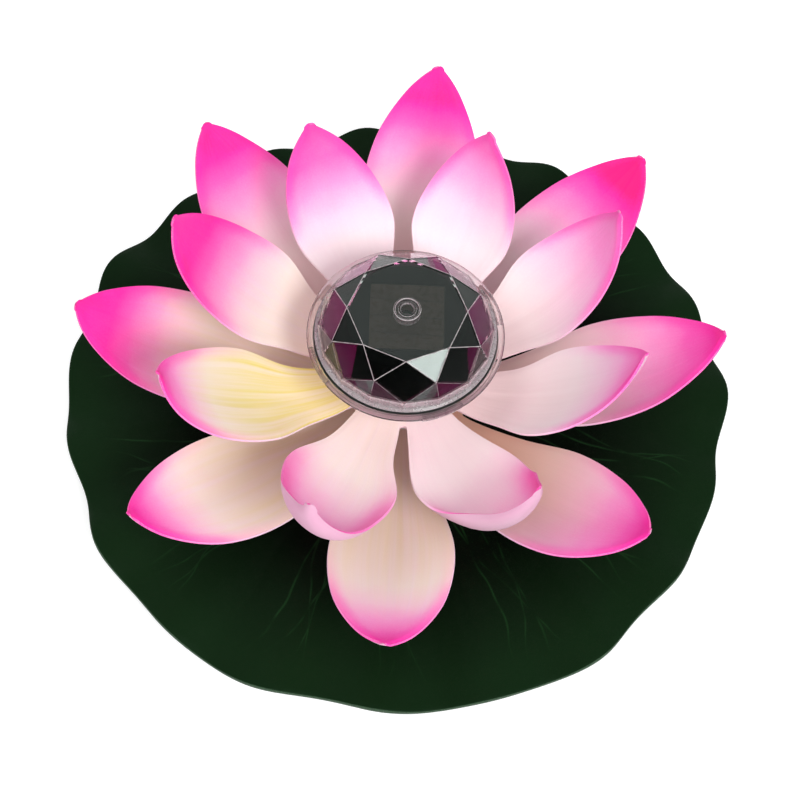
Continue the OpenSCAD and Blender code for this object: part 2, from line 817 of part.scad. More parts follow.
module power_button() {
    color([0.75, 0.12, 0.12]) {
        rod(button_r, button_z, cover_top + 0.9, button_x);
        rod(button_flange_r, cover_top + 0.1, cover_top + 0.9, button_x);
    }
}

// ---------------------------------------------------------------- battery cap

module battery_cap() {
    slot_w = 2;
    slot_l = 16;
    color([0.86, 0.87, 0.88])
        difference() {
            union() {
                rod(cap_flange_r, cap_z, cover_z - gasket_h / 2 - 0.05);
                rod(cap_plug_r, cap_z, cap_top);
            }
            rod(cap_plug_bore, cap_floor, cap_top + over);
            translate([-slot_l / 2, -slot_w / 2, cap_z - over]) cube([slot_l, slot_w, 1 + over]);
            tube(gasket_r + 0.05, gasket_in - 0.05, cover_z - gasket_h - 0.05, cover_z + over);
        }
}

module cap_gasket() {
    color([0.15, 0.15, 0.16])
        tube(gasket_r, gasket_in, cover_z - gasket_h, cover_z - 0.02);
}

module contact_cup() {
    color([0.80, 0.72, 0.45])
        difference() {
            rod(cup_r, cap_floor, battery_z);
            rod(cup_r - cup_wall, cap_floor + cup_wall, battery_z + over);
        }
}

// conical coil swept as a closed many-sided tube
module battery_spring() {
    steps = 16 * spring_turns;
    sides = 6;
    low = cap_floor + cup_wall + spring_wire;
    high = battery_z - spring_wire;
    points = [for (i = [0 : steps], j = [0 : sides - 1])
        let (t = i / steps,
             r = spring_r - 0.8 * t + spring_wire * cos(360 * j / sides),
             a = 360 * spring_turns * t)
        [r * cos(a), r * sin(a), low + (high - low) * t + spring_wire * sin(360 * j / sides)]];
    skin = [for (i = [0 : steps - 1], j = [0 : sides - 1])
        [i * sides + j, i * sides + (j + 1) % sides,
         (i + 1) * sides + (j + 1) % sides, (i + 1) * sides + j]];
    ends = [[for (j = [sides - 1 : -1 : 0]) j], [for (j = [0 : sides - 1]) steps * sides + j]];
    color([0.78, 0.78, 0.80]) polyhedron(points, concat(skin, ends));
}

// ---------------------------------------------------------------- mooring

module mooring_ring() {
    bar = ring_bar_d / 2;
    ring_x = pin_x - ring_r - bar - ring_neck;
    color([0.88, 0.89, 0.90])
        difference() {
            union() {
                translate([ring_x, 0, pin_z])
                    rotate_extrude($fn = round_fn) translate([ring_r, 0]) circle(r = bar, $fn = round_fn);
                translate([ring_x + ring_r, -ring_neck_w / 2, pin_z - bar * 0.8])
                    cube([ring_neck + bar, ring_neck_w, 1.6 * bar]);
                translate([pin_x, 0, pin_z]) rotate([90, 0, 0])
                    cylinder(r = hub_r, h = 2 * hub_half, center = true, $fn = round_fn);
            }
            translate([pin_x, 0, pin_z]) rotate([90, 0, 0])
                cylinder(r = pin_r + fit, h = 4 * hub_half, center = true, $fn = round_fn);
        }
}

module mooring_pin() {
    color([0.70, 0.71, 0.73])
        translate([pin_x, 0, pin_z]) rotate([90, 0, 0])
            cylinder(r = pin_r, h = 2 * (hub_half + 0.1 + ear_t), center = true, $fn = round_fn);
}

lens_cover();
lens_seal();
panel_carrier();
carrier_screws();
solar_cell();
led();
led_leads();
circuit_board();
driver_chip();
inductor();
capacitor();
solar_wire_pos();
solar_wire_neg();
battery_wire_pos();
battery_wire_neg();
switch_wires();
lamp_bowl();
battery_holder();
battery_cell();
battery_contact();
contact_ring();
inner_petals();
petal_spacer();
outer_petals();
lily_pad();
clamp_nut();
base_shell();
float_ring();
base_seal();
base_cover();
cover_screws();
switch_board();
switch_body();
switch_plunger();
power_button();
battery_cap();
cap_gasket();
contact_cup();
battery_spring();
mooring_ring();
mooring_pin();
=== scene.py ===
"""Floating pool light: foam lotus petals and a lily pad round a solar lamp with a faceted lens.

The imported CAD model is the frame. The petals, the pad and the lens are rebuilt here as finer
meshes, and every other CAD node gets a procedural material.
"""

import json
import math
import random

import bpy
import bmesh
import numpy as np
from mathutils import Matrix, Vector, noise


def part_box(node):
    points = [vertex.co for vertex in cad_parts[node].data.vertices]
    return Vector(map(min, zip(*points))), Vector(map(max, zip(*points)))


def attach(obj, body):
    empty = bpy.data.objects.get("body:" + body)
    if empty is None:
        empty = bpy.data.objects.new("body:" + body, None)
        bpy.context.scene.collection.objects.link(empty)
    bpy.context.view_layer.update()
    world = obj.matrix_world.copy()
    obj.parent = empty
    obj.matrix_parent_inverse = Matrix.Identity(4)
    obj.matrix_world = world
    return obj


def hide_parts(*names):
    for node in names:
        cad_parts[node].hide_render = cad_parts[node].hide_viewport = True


MM = 0.001
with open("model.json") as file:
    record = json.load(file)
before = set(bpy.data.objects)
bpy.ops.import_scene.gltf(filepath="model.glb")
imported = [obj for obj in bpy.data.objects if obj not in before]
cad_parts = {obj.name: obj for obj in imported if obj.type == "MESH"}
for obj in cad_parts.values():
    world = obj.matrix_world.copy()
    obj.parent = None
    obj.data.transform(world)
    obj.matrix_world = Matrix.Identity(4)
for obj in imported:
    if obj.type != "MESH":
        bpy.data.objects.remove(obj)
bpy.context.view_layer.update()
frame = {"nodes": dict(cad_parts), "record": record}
dice = random.Random(7)

# ------------------------------------------------------------------ driving dimensions (mm)

NECK_HOLE_R = 12.15
PETAL_ROOT_R = 28.0
PETAL_T = 2.0
PETAL_EDGE_T = 0.9
PETAL_EDGE_ROUND = 0.35
LEAF_T = 3.0
LEAF_R = 140.0
LEAF_FLAT_R = 70.0
LEAF_WAVE = 2.6
LEAF_SCALLOP = 2.2
LEAF_LOBES = 19
LEAF_SHIFT = (-2.0, -5.5)
RIM_R = 40.5
GIRDLE_R = 36.1
STAR_R = 32.2
TABLE_R = 24.2
STAR_DROP = 6.3
LENS_WALL = 1.4
SKIRT_R = 35.9
SKIRT_BORE = 34.4
RIM_T = 3.6
LENS_TURN = 2.0
PIPE_R = 5.6
PIPE_WALL = 0.9
PIPE_DROP = 2.4
PIPE_WELL_R = 2.6
PIPE_POST_R = 3.7
RIDGE_W = 0.15
BREAK_RIDGE_W = 0.05
GIRDLE_RIDGE_W = 0.45
PIPE_WELL = 0.5
PIPE_POST = 1.4
PIPE_RING_H = 0.6
TAB_COUNT = 4
TAB_FIRST = 13
TAB_SWEEP = 26
TAB_DROP = 2.6
TAB_R = (38.0, 39.1)


def top_of(node):
    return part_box(node)[1].z / MM


def foot_of(node):
    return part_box(node)[0].z / MM


LEAF_Z = top_of("base_shell") + LEAF_T / 2
OUTER_Z = foot_of("petal_spacer") - PETAL_T / 2
INNER_Z = top_of("petal_spacer") + PETAL_T / 2
TABLE_Z = top_of("lens_cover") - PIPE_RING_H
RIM_Z = top_of("lens_seal")
SKIRT_Z = foot_of("lens_cover")

# ------------------------------------------------------------------ petals

# Each layer: the level of its ring, the flat run and upturned end of a petal's middle line, the
# slope of its tip, half widths and cupping angles at equal steps from root to tip.
# The tips rows and the two bent petals are rounded results of a separate outline fit.
OUTER = {
    "level": OUTER_Z, "run": 46.0, "upturn": 15.0, "slope": 64.0, "first": 0.0,
    "widths": (9.9, 18.3, 25.7, 23.2, 13.2, 0.4), "cups": (0.0, 26.0, 14.0, 2.0), "curl": (0.0, 0.0),
    "rim_spray": 0.0,
    # radius and height of each tip above the pad, its sideways turn and its twist
    "tips": ((129, 57, 1.5, -10), (133, 53, -1.5, -6), (134, 53, -3, -2), (134, 50, -1.5, 4),
             (134, 54, 0, -24), (135, 46, -4, 0), (136, 49, 0, 4), (129, 48, 5, 3)),
    "bent": {},
    # per petal: where the sprayed pink starts, where it is full, its strength, how yellow the root is, how
    # beige and shaded the root is (partly the spray's colour, partly painted shade under the inner petals),
    # and how much further the pink reaches on one side
    "spray": ((0.24, 0.93, 1.0, 0.10, 0.4, 0.0), (0.34, 0.79, 1.12, 0.05, 0.2, 0.0),
              (0.36, 0.79, 1.02, 0.0, 0.5, 0.0), (0.36, 0.77, 0.98, 0.0, 0.5, 0.0),
              (0.40, 0.75, 0.98, 0.35, 0.4, 0.0), (0.56, 0.92, 1.02, 0.42, 0.35, 0.0),
              (0.54, 0.93, 0.96, 0.35, 0.35, 0.0), (0.34, 0.91, 0.92, 0.0, 1.0, 0.0)),
}
INNER = {
    "level": INNER_Z, "run": 32.0, "upturn": 26.0, "slope": 84.0, "first": 25.3,
    "widths": (9.9, 14.9, 22.6, 21.1, 13.6, 0.4), "cups": (0.0, 29.0, 15.0, -16.0), "curl": (0.0, 0.0),
    "rim_spray": 0.0,
    "tips": ((96, 75, 4, -15), (90, 72, 0, -25), (95, 73, 3.5, 5), (96, 91, 8, -9),
             (104, 87, 2.5, -11), (104, 88, 2.4, -26), (97, 76, 8.4, 20.7), (96, 86, 4, -11)),
    # the two petals at the front are bent up further than the rest, with curled edges
    "bent": {
        5: {"run": 24.0, "upturn": 35.5, "slope": 116.0, "widths": (9.9, 14.4, 24.0, 22.5, 15.9, 0.4),
            "cups": (0.0, 30.0, 26.0, 38.0), "curl": (32.0, 40.0), "rim_spray": 0.50},
        6: {"run": 64.0, "upturn": 32.5, "slope": 91.0, "widths": (9.9, 22.6, 24.2, 21.6, 12.5, 0.4),
            "cups": (0.0, 52.0, 46.0, 6.0), "curl": (69.0, 20.0), "rim_spray": 0.60},
    },
    "spray": ((0.30, 0.76, 0.56, 0.0, 0.3, 0.0), (0.37, 0.88, 0.70, 0.0, 0.1, 0.0),
              (0.36, 0.77, 0.76, 0.0, 0.1, 0.0), (0.34, 0.75, 0.97, 0.20, 0.2, 0.0),
              (0.58, 0.98, 1.0, 0.90, 0.0, 0.0), (0.32, 0.87, 0.92, 0.16, 0.10, -0.05),
              (0.16, 0.88, 0.84, 0.03, 0.14, 0.06), (0.48, 0.92, 0.76, 0.0, 0.3, 0.0)),
}
PETAL_COUNT = 8
EDGE_SPRAY = 0.45
EDGE_SPRAY_W = 7.0
PETAL_ROWS = 46
TIP_ROWS = 6
TIP_START = 0.965
PETAL_COLS = 24
RING_ROWS = 5
WEB_COLS = 8
SLOT_DIP = 1.2


def smooth(values, t):
    """Smooth curve through equally spaced values, at t from 0 to 1."""
    n = len(values) - 1
    x = min(max(t, 0.0), 0.99999) * n
    i = int(x)
    f = x - i
    b, c = values[i], values[i + 1]
    a = values[i - 1] if i > 0 else 2 * values[0] - values[1]
    d = values[i + 2] if i + 2 <= n else 2 * values[n] - values[n - 1]
    return b + 0.5 * f * (c - a + f * (2 * a - 5 * b + 4 * c - d + f * (3 * (b - c) + d - a)))


def ease(low, high, x):
    t = min(max((x - low) / (high - low), 0.0), 1.0)
    return t * t * (3 - 2 * t)


def petal_shape(layer, k):
    """The numbers of petal k: those of its layer, or its own where it is bent further."""
    return {**layer, **layer["bent"].get(k, {})}


def across_sheet(angle, curl, u):
    """How far in and how far up the arc at u lies, for a half width of one.

    The sheet turns by angle * u, and its outer part curls by up to curl more.
    """
    steps = 12
    side = lift = 0.0
    for i in range(steps):
        v = u * (i + 0.5) / steps
        turn = angle * v + math.copysign(curl * v * v, u)
        side += math.cos(turn) * u / steps
        lift += math.sin(turn) * u / steps
    return side, lift


def petal_width(widths, t):
    """Half width, closed to a small round at the tip."""
    half = smooth(widths, t)
    if t > TIP_START:
        half = smooth(widths, TIP_START) * math.sqrt(max(0.0, 1 - ((t - TIP_START) / (1 - TIP_START)) ** 2))
    return half


def petal_point(layer, k, t, u, ripple):
    """Point of petal k in mm, t from root to tip and u from -1 to 1 across it."""
    tip_r, tip_z, turn, twist = layer["tips"][k]
    shape = petal_shape(layer, k)
    slope = math.radians(shape["slope"])
    root = np.array((PETAL_ROOT_R, layer["level"]))
    tip = np.array((tip_r, LEAF_Z + tip_z))
    line = (root, root + (shape["run"], 0),
            tip - shape["upturn"] * np.array((math.cos(slope), math.sin(slope))), tip)
    at = ((1 - t) ** 3 * line[0] + 3 * (1 - t) ** 2 * t * line[1]
          + 3 * (1 - t) * t * t * line[2] + t ** 3 * line[3])
    way = ((1 - t) ** 2 * (line[1] - line[0]) + 2 * (1 - t) * t * (line[2] - line[1])
           + t * t * (line[3] - line[2]))
    along = way / np.linalg.norm(way)
    half = petal_width(shape["widths"], t)
    curl = shape["curl"][0 if u < 0 else 1] * ease(0.3, 0.75, t)
    side, lift = across_sheet(math.radians(smooth(shape["cups"], t)), math.radians(curl), u)
    side, lift = half * side, half * lift
    # a pressed mid-rib, and a slow ripple that grows towards the edges
    lift -= 0.45 * math.exp(-((half * u) / 1.1) ** 2) * ease(0.0, 0.1, t) * (1 - ease(0.45, 0.8, t))
    lift += ripple[0] * u * u * math.sin(5.0 * t + ripple[1] + 1.3 * u) * ease(0.15, 0.6, t)
    twist = math.radians(twist) * t * t
    side, lift = (side * math.cos(twist) - lift * math.sin(twist),
                  side * math.sin(twist) + lift * math.cos(twist))
    az = math.radians(layer["first"] + 45 * k + turn * t)
    r = at[0] - along[1] * lift
    z = at[1] + along[0] * lift
    return Vector((r * math.cos(az) - side * math.sin(az),
                   r * math.sin(az) + side * math.cos(az), z))


def mesh_object(name, points, faces, attributes=None):
    mesh = bpy.data.meshes.new(name)
    mesh.from_pydata([tuple(p * MM) for p in points], [], faces)
    for key, values in (attributes or {}).items():
        layer = mesh.attributes.new(key, "FLOAT", "POINT")
        layer.data.foreach_set("value", np.array(values, np.float32))
    mesh.validate()
    for face in mesh.polygons:
        face.use_smooth = True
    obj = bpy.data.objects.new(name, mesh)
    bpy.context.scene.collection.objects.link(obj)
    return obj


def thicken(obj, thickness, materials, round_mm, edge_share=1.0):
    """Gives a sheet its thickness: the face, the back and the cut edge are materials 0, 1, 2.

    The vertex group "full" says where the thickness is full; elsewhere it is edge_share of it.
    """
    for material in materials:
        obj.data.materials.append(material)
    solid = obj.modifiers.new("thickness", "SOLIDIFY")
    solid.thickness = thickness * MM
    solid.offset = 0
    solid.material_offset = 1
    solid.material_offset_rim = 2
    if edge_share < 1:
        solid.vertex_group = "full"
        solid.thickness_vertex_group = edge_share
    edge = obj.modifiers.new("edge", "BEVEL")
    edge.width = round_mm * MM
    edge.segments = 2
    edge.limit_method = "ANGLE"
    edge.angle_limit = math.radians(50)
    edge.loop_slide = True
    return obj


def petal_steps():
    """Values of t of the rows of a petal, close together where the tip is rounded."""
    rows = [TIP_START * i / PETAL_ROWS for i in range(1, PETAL_ROWS + 1)]
    return rows + [TIP_START + (1 - TIP_START) * math.sin(math.pi / 2 * i / TIP_ROWS)
                   for i in range(1, TIP_ROWS + 1)]


def petal_layer(name, layer, materials):
    """One sheet: a clamped ring, eight petals, and round-ended slots between them."""
    points, faces, full = [], [], []
    marks = {"along": [], "across": [], "blush": [], "cream": [], "root_tan_and_shade": [], "tone": []}
    span = PETAL_COLS + WEB_COLS
    columns = [math.sin(math.pi / 2 * (2 * c / PETAL_COLS - 1)) for c in range(PETAL_COLS + 1)]
    ripples = [(dice.uniform(0.4, 1.0), dice.uniform(0, 6.28)) for _ in range(PETAL_COUNT)]
    tones = [dice.uniform(-1, 1) for _ in range(PETAL_COUNT)]

    def add(point, k, t, u):
        start, end, strength, yellow, root_tan_and_shade, lean = layer["spray"][k]
        shape = petal_shape(layer, k)
        half = petal_width(shape["widths"], t)
        edge = half * (1 - abs(u)) if t > 0 else half
        points.append(point)
        full.append(ease(0.0, 2.6, edge) * (1 - ease(0.95, 1.0, t)))
        marks["along"].append(t)
        marks["across"].append(u)
        coat = min(1.0, (t + lean * u - start) / (end - start))
        band = EDGE_SPRAY * (1 - ease(0.0, EDGE_SPRAY_W, edge)) * ease(0.30, 0.70, t)
        rim = shape["rim_spray"] * ease(0.40, 1.0, abs(u)) * ease(0.20, 0.50, t)
        band = max(band, rim)
        marks["blush"].append(max(strength * coat, 0.0) * (1 - band) + band if t > 0 else 0.0)
        marks["cream"].append(yellow * (1 - ease(0.30, 0.92, t)))
        # beige darkening towards the root: partly the spray's colour, partly painted shade where the inner
        # petals overhang
        marks["root_tan_and_shade"].append(root_tan_and_shade * (1 - ease(0.15, 0.90, t + 0.10 * abs(u))))
        marks["tone"].append(tones[k])
        return len(points) - 1

    roots = []
    for k in range(PETAL_COUNT):
        row = [(petal_point(layer, k, 0, u, ripples[k]), k, u) for u in columns]
        after = petal_point(layer, (k + 1) % PETAL_COUNT, 0, -1, ripples[k])
        last = row[-1][0]
        for c in range(1, WEB_COLS):
            f = c / WEB_COLS
            p = last.lerp(after, f)
            reach = math.hypot(last.x, last.y) - SLOT_DIP * math.sqrt(1 - (2 * f - 1) ** 2)
            flat = Vector((p.x, p.y, 0)).normalized() * reach
            row.append((Vector((flat.x, flat.y, p.z)), k, 1.0))
        roots += row
    ring = []
    for i in range(RING_ROWS + 1):
        f = i / RING_ROWS
        line = []
        for point, k, u in roots:
            flat = Vector((point.x, point.y, 0))
            reach = NECK_HOLE_R + (flat.length - NECK_HOLE_R) * f
            flat = flat.normalized() * reach
            line.append(add(Vector((flat.x, flat.y, point.z)), k, 0.0, u))
        ring.append(line)
    total = len(roots)
    for i in range(RING_ROWS):
        for j in range(total):
            n = (j + 1) % total
            faces.append((ring[i][j], ring[i + 1][j], ring[i + 1][n], ring[i][n]))
    for k in range(PETAL_COUNT):
        before = ring[-1][k * span:k * span + PETAL_COLS + 1]
        for t in petal_steps():
            if t < 1:
                row = [add(petal_point(layer, k, t, u, ripples[k]), k, t, u) for u in columns]
            else:
                row = [add(petal_point(layer, k, 1, 0, ripples[k]), k, 1, 0)] * (PETAL_COLS + 1)
            for c in range(PETAL_COLS):
                corners = (before[c], row[c], row[c + 1], before[c + 1])
                faces.append(tuple(dict.fromkeys(corners)))
            before = row
    obj = mesh_object(name, points, faces, marks)
    group = obj.vertex_groups.new(name="full")
    for index, weight in enumerate(full):
        group.add([index], weight, "REPLACE")
    return thicken(obj, PETAL_T, materials, PETAL_EDGE_ROUND, PETAL_EDGE_T / PETAL_T)


# ------------------------------------------------------------------ lily pad

LEAF_STEPS = 384
LEAF_ROWS = 44
VEINS = 15
VEIN_DEPTH = 0.35
LEAF_EDGE_ROUND = 0.8


def leaf_lift(r, a):
    x = max(0.0, (r - LEAF_FLAT_R) / (LEAF_R - LEAF_FLAT_R))
    wave = LEAF_WAVE * x * x * (math.sin(LEAF_LOBES * a) + 0.6 * math.sin(7 * a + math.radians(40)))
    buckle = 0.5 * x * noise.noise(Vector((r * math.cos(a), r * math.sin(a), 0)) * 0.03)
    return wave + buckle


def vein_groove(r, a):
    """How deep the pressed veins are at a point of the pad, from 0 to 1."""
    turn = a / (2 * math.pi) * VEINS + 0.25 * noise.noise(Vector((r * 0.02, a, 4.0)))
    off = abs(turn - round(turn)) * 2 * math.pi * r / VEINS
    return math.exp(-(off / 1.3) ** 2) * ease(26, 45, r) * (1 - ease(105, 138, r))


def leaf_reach(r, a):
    wave = (0.5 * math.sin(LEAF_LOBES * a - math.radians(3)) + 0.5 * math.sin(12 * a + math.radians(24))
            + 0.4 * math.sin(5 * a - math.radians(14)))
    return r + (r / LEAF_R) ** 6 * LEAF_SCALLOP * wave


def lily_pad(materials):
    points, faces = [], []
    marks = {"reach": [], "turn": []}
    for i in range(LEAF_STEPS):
        a = 2 * math.pi * i / LEAF_STEPS
        for j in range(LEAF_ROWS + 1):
            f = j / LEAF_ROWS
            r = NECK_HOLE_R + (LEAF_R - NECK_HOLE_R) * f
            out = leaf_reach(r, a) if j else r
            off = (r / LEAF_R) ** 2 if j else 0
            groove = vein_groove(r, a)
            points.append(Vector((out * math.cos(a) + off * LEAF_SHIFT[0],
                                  out * math.sin(a) + off * LEAF_SHIFT[1],
                                  LEAF_Z + leaf_lift(r, a) - VEIN_DEPTH * groove)))
            marks["reach"].append(f)
            marks["turn"].append(i / LEAF_STEPS)
    rows = LEAF_ROWS + 1
    for i in range(LEAF_STEPS):
        n = (i + 1) % LEAF_STEPS
        for j in range(LEAF_ROWS):
            faces.append((i * rows + j, i * rows + j + 1, n * rows + j + 1, n * rows + j))
    obj = mesh_object("lily_pad_sheet", points, faces, marks)
    return thicken(obj, LEAF_T, materials, LEAF_EDGE_ROUND)


# ------------------------------------------------------------------ lens


def crown_mesh(name, t_r, t_z, s_r, s_z, g_r, low_z):
    """Brilliant-cut block: table, star points, kites, then a sixteen-sided wall."""
    slope = (t_z - s_z) / (s_r * math.cos(math.radians(22.5)) - t_r)
    g_z = t_z - slope * (g_r - t_r)

    def spot(r, degrees, z):
        a = math.radians(degrees + LENS_TURN)
        return Vector((r * math.cos(a), r * math.sin(a), z))

    points = ([spot(t_r, 45 * k, t_z) for k in range(8)]
              + [spot(s_r, 45 * k + 22.5, s_z) for k in range(8)]
              + [spot(g_r, 22.5 * k, g_z) for k in range(16)]
              + [spot(g_r, 22.5 * k, low_z) for k in range(16)])
    faces = [tuple(range(8)), tuple(range(47, 31, -1))]
    for k in range(8):
        before = (k + 7) % 8
        faces.append((8 + k, (k + 1) % 8, k))
        faces.append((k, 8 + before, 16 + 2 * k, 8 + k))
        faces.append((8 + k, 16 + 2 * k, 16 + 2 * k + 1))
        faces.append((8 + k, 16 + 2 * k + 1, 16 + (2 * k + 2) % 16))
    for k in range(16):
        n = (k + 1) % 16
        faces.append((16 + n, 16 + k, 32 + k, 32 + n))
    obj = mesh_object(name, points, faces)
    for face in obj.data.polygons:
        face.use_smooth = False
    fix_normals(obj)
    return obj


def fix_normals(obj):
    work = bmesh.new()
    work.from_mesh(obj.data)
    bmesh.ops.recalc_face_normals(work, faces=work.faces)
    work.to_mesh(obj.data)
    work.free()


def turned(name, profile, steps=144, start=0.0, sweep=360.0):
    """Solid of revolution about Z from a closed (radius, height) outline in mm."""
    points, faces = [], []
    full = sweep >= 360
    count = steps if full else steps + 1
    n = len(profile)
    for i in range(count):
        a = math.radians(start + sweep * i / steps)
        points += [Vector((r * math.cos(a), r * math.sin(a), z)) for r, z in profile]
    for i in range(steps):
        m = (i + 1) % count
        for j in range(n):
            k = (j + 1) % n
            faces.append((i * n + j, m * n + j, m * n + k, i * n + k))
    if not full:
        faces.append(tuple(range(n)))
        faces.append(tuple(range((count - 1) * n, count * n))[::-1])
    obj = mesh_object(name, points, faces)
    fix_normals(obj)
    return obj


def disc_profile(r, low, high):
    """Outline of a disc, kept a hair off the axis so that no face is folded flat."""
    e = 0.0005
    return [(e, low), (r, low), (r, high), (e, high)]


def ridge_profile(middle, half, base, height):
    """Half-round ridge for turning, sunk a little into the face it stands on."""
    arc = [(middle + half * math.cos(math.pi * i / 8), base + height * math.sin(math.pi * i / 8))
           for i in range(9)]
    return [(middle - half, base - 0.5), (middle + half, base - 0.5)] + arc


def cut(obj, tool, how):
    """Boolean of two closed meshes; the tool is used up."""
    step = obj.modifiers.new("cut", "BOOLEAN")
    step.operation = how
    step.solver = "EXACT"
    step.object = tool
    apply_modifiers(obj)
    bpy.data.objects.remove(tool)


def apply_modifiers(obj):
    graph = bpy.context.evaluated_depsgraph_get()
    graph.update()
    done = bpy.data.meshes.new_from_object(obj.evaluated_get(graph))
    obj.modifiers.clear()
    obj.data = done


def ease_ridges(crown, ridge_index):
    """Narrow flats in the ridge material along the crown's edges, widest round the girdle: painted highlight
    lines.
    """
    weights = []
    for edge in crown.data.edges:
        low, high = sorted(edge.vertices)
        if high >= 32:
            width = 0.0
        elif low >= 16:
            width = GIRDLE_RIDGE_W
        else:
            width = BREAK_RIDGE_W if high >= 16 else RIDGE_W
        weights.append(width / GIRDLE_RIDGE_W)
    marks = crown.data.attributes.new("bevel_weight_edge", "FLOAT", "EDGE")
    marks.data.foreach_set("value", weights)
    flats = crown.modifiers.new("ridges", "BEVEL")
    flats.width = GIRDLE_RIDGE_W * MM
    flats.segments = 1
    flats.limit_method = "WEIGHT"
    flats.material = ridge_index
    apply_modifiers(crown)


def lens(material, ridge_material, wall_material):
    """Clear cover: cut crown, rim with tabs, skirt, light pipe over the diode, hollow inside."""
    star_z = TABLE_Z - STAR_DROP
    top = RIM_Z + RIM_T
    under = TABLE_Z - LENS_WALL
    body = crown_mesh("lens_clear", TABLE_R, TABLE_Z, STAR_R, star_z, GIRDLE_R, RIM_Z + 0.4)
    body.data.materials.append(material)
    body.data.materials.append(ridge_material)
    body.data.materials.append(wall_material)
    ease_ridges(body, 1)
    rim = turned("rim", [(SKIRT_BORE - 0.6, RIM_Z), (RIM_R - 1.4, RIM_Z), (RIM_R - 0.4, RIM_Z + 0.4),
                         (RIM_R, RIM_Z + 1.2), (RIM_R - 0.1, top - 1.5), (RIM_R - 0.7, top - 0.7),
                         (RIM_R - 1.5, top - 0.35), (RIM_R - 1.9, top - 0.35), (RIM_R - 2.2, top - 0.75),
                         (GIRDLE_R + 1.2, top - 0.65), (GIRDLE_R + 0.8, top - 0.3),
                         (GIRDLE_R + 0.2, top + 0.1), (SKIRT_BORE - 0.6, top + 0.1)])
    cut(body, rim, "UNION")
    near, far = TAB_R
    for i in range(TAB_COUNT):
        tab = turned("tab", [(near, RIM_Z - TAB_DROP), (far, RIM_Z - TAB_DROP), (far, RIM_Z + 0.5),
                             (near, RIM_Z + 0.5)], 12, 360 / TAB_COUNT * i + TAB_FIRST, TAB_SWEEP)
        cut(body, tab, "UNION")
    skirt = turned("skirt", [(SKIRT_BORE - 0.6, SKIRT_Z), (SKIRT_R, SKIRT_Z), (SKIRT_R, RIM_Z + 0.5),
                             (SKIRT_BORE - 0.6, RIM_Z + 0.5)])
    cut(body, skirt, "UNION")
    hollow = crown_mesh("hollow", TABLE_R - 0.48 * LENS_WALL, under, STAR_R - 0.85 * LENS_WALL,
                        star_z - 0.62 * LENS_WALL, SKIRT_BORE, SKIRT_Z - 1)
    cut(body, hollow, "DIFFERENCE")
    middle = PIPE_R - PIPE_WALL / 2
    pipe = turned("pipe", [(PIPE_R - PIPE_WALL, under - PIPE_DROP), (PIPE_R, under - PIPE_DROP)]
                  + ridge_profile(middle, PIPE_WALL / 2, TABLE_Z, PIPE_RING_H)[2:], 96)
    cut(body, pipe, "UNION")
    cut(body, turned("ring", ridge_profile(3.2, 0.5, TABLE_Z, 0.35), 96), "UNION")
    cut(body, turned("well", disc_profile(PIPE_WELL_R, TABLE_Z - PIPE_WELL, TABLE_Z + 1), 72), "DIFFERENCE")
    cut(body, turned("post", disc_profile(PIPE_POST_R, under - PIPE_POST, under + 0.4), 72), "UNION")
    body.name = "lens_clear"
    for face in body.data.polygons:
        face.use_smooth = False
        r = math.hypot(face.center.x, face.center.y) / MM
        z = face.center.z / MM
        on_pipe = r < PIPE_R + 0.1 and abs(face.normal.z) < 0.86
        on_tab = r > SKIRT_R + 1 and z < RIM_Z - 0.1
        on_skirt = z < RIM_Z + 0.3 and PIPE_R + 1 < r < SKIRT_R + 0.3
        on_wall = abs(face.normal.z) < 0.3 and z > RIM_Z and SKIRT_BORE + 0.3 < r < GIRDLE_R + 0.1
        on_fillet = z > top - 0.9 and GIRDLE_R - 0.9 < r < GIRDLE_R + 1.3 and face.normal.z > 0.1
        # the pipe, tabs and skirt, and the wall and fillet round the girdle, take the pale ridge materials:
        # painted highlights, painted reflection of the lights round the girdle, and painted light under the
        # flange
        if on_pipe or on_tab or on_skirt:
            face.material_index = 1
        elif (on_wall or on_fillet) and face.material_index == 0:
            face.material_index = 2
    return body


# ------------------------------------------------------------------ materials


def srgb(r, g, b):
    """Screen colour, 0 to 255, as scene-linear numbers."""
    values = []
    for c in (r, g, b):
        c = c / 255
        values.append(c / 12.92 if c <= 0.04045 else ((c + 0.055) / 1.055) ** 2.4)
    return (*values, 1.0)


